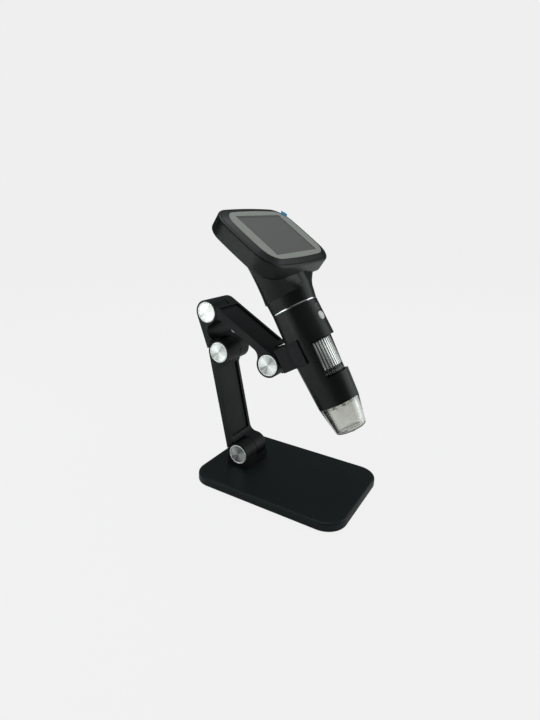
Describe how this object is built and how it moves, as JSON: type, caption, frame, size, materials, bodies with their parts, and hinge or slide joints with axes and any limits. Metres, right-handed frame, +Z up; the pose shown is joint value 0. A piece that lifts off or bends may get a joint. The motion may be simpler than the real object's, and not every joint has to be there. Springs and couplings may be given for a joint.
{
  "type": "lcd digital microscope",
  "caption": "Handheld digital microscope with its own tilted display, held by a clip on a folding arm over a flat weighted base plate; clear tip, focus wheel in the barrel's window.",
  "frame": {"origin": "centre of the base plate's underside, on the surface it stands on", "axes": "+Z up; +X along the base plate from the hinge block towards the scope; +Y across the plate, along the four hinge axes"},
  "size_m": [0.1285, 0.0792, 0.1893],
  "materials": {
    "black_metal": "satin",
    "steel": "satin",
    "pad_rubber": "matt",
    "arm_black": "satin",
    "spun_cap": "spun, with radial streaks",
    "bright_steel": "bright",
    "washer_nylon": "matt",
    "scope_black": "satin",
    "ring_chrome": "polished",
    "scale_dark": "satin with white ticks",
    "wheel_chrome": "polished",
    "tip_clear": "clear",
    "white_board": "matt",
    "led_clear": "gloss",
    "lens_glass": "polished",
    "board_green": "solder mask",
    "chip_black": "matt",
    "button_pale": "gloss",
    "screen_glass": "gloss",
    "panel_grey": "gloss",
    "battery_foil": "foil",
    "film_blue": "translucent film"
  },
  "bodies": {
    "base": {"base_shell": "black_metal", "base_weight": "steel", "base_pad": "pad_rubber", "hinge_block": "arm_black", "block_screws": "steel", "base_hinge_bolt": "bright_steel", "base_hinge_nut": "bright_steel", "base_hinge_spring_washers": "bright_steel", "base_hinge_friction_washer": "washer_nylon", "base_hinge_near_cap": "spun_cap"},
    "lower_arm_body": {"lower_arm": "arm_black", "base_hinge_far_cap": "spun_cap", "elbow_bolt": "bright_steel", "elbow_nut": "bright_steel", "elbow_spring_washers": "bright_steel", "elbow_friction_washer": "washer_nylon", "elbow_near_cap": "spun_cap"},
    "link_body": {"link_arm": "arm_black", "elbow_far_cap": "spun_cap", "shoulder_bolt": "bright_steel", "shoulder_nut": "bright_steel", "shoulder_spring_washers": "bright_steel", "shoulder_friction_washer": "washer_nylon", "shoulder_near_cap": "spun_cap"},
    "upper_arm_body": {"upper_arm": "arm_black", "shoulder_far_cap": "spun_cap", "holder_hinge_bolt": "bright_steel", "holder_hinge_nut": "bright_steel", "holder_hinge_spring_washers": "bright_steel", "holder_hinge_friction_washer": "washer_nylon", "holder_hinge_near_cap": "spun_cap"},
    "holder": {"barrel_holder": "arm_black", "holder_hinge_far_cap": "spun_cap"},
    "scope": {"barrel_shell": "scope_black", "bright_ring": "ring_chrome", "clear_tip": "tip_clear", "light_board": "white_board", "ring_leds": "led_clear", "lens_guide": "scope_black", "sensor_board": "board_green", "image_sensor": "chip_black", "button_switch": "chip_black", "rear_housing": "scope_black", "front_bezel": "scope_black", "display_glass": "screen_glass", "lcd_panel": "panel_grey", "main_board": "board_green", "board_chips": "chip_black", "battery": "battery_foil", "charge_socket": "bright_steel", "card_socket": "bright_steel", "case_screws": "steel", "film_tab": "film_blue"},
    "focus": {"focus_wheel": "wheel_chrome", "scale_ring": "scale_dark"},
    "lens": {"lens_carriage": "scope_black", "objective_lens": "lens_glass"},
    "snap": {"snap_button": "button_pale"},
    "power": {"power_button": "scope_black"}
  },
  "joints": [
    {"name": "base_tilt", "type": "hinge", "parent": "base", "child": "lower_arm_body", "pos_m": [-0.03457, 0, 0.01607], "axis": [0, 1, 0], "range_deg": [-15, 20]},
    {"name": "elbow_fold", "type": "hinge", "parent": "lower_arm_body", "child": "link_body", "pos_m": [-0.05173, 0, 0.09194], "axis": [0, -1, 0], "range_deg": [-20, 30]},
    {"name": "shoulder_lift", "type": "hinge", "parent": "link_body", "child": "upper_arm_body", "pos_m": [-0.06227, 0, 0.11951], "axis": [0, -1, 0], "range_deg": [-20, 70]},
    {"name": "holder_tilt", "type": "hinge", "parent": "upper_arm_body", "child": "holder", "pos_m": [-0.01118, 0, 0.09026], "axis": [0, 1, 0], "range_deg": [-15, 45]},
    {"name": "scope_twist", "type": "hinge", "parent": "holder", "child": "scope", "pos_m": [0.00013, 0, 0.12967], "axis": [-0.5255, 0, 0.8508], "range_deg": [-45, 45]},
    {"name": "focus_turn", "type": "hinge", "parent": "scope", "child": "focus", "pos_m": [0.00013, 0, 0.12967], "axis": [-0.5255, 0, 0.8508], "range_deg": [-150, 150]},
    {"name": "lens_slide", "type": "slide", "parent": "scope", "child": "lens", "axis": [-0.5255, 0, 0.8508], "range_m": [-0.004, 0.004]},
    {"name": "snap_press", "type": "slide", "parent": "scope", "child": "snap", "axis": [-0.8503, 0.0349, -0.5252], "range_m": [0, 0.0008], "stiffness_N_per_m": 1200, "springref_m": -0.0006},
    {"name": "power_press", "type": "slide", "parent": "scope", "child": "power", "axis": [0.5633, -0.0319, 0.8256], "range_m": [0, 0.0005], "stiffness_N_per_m": 1500, "springref_m": -0.0005}
  ],
  "couplings": [
    {"joint": "focus_turn", "follows": "lens_slide", "rad_per_m": 654.49}
  ]
}
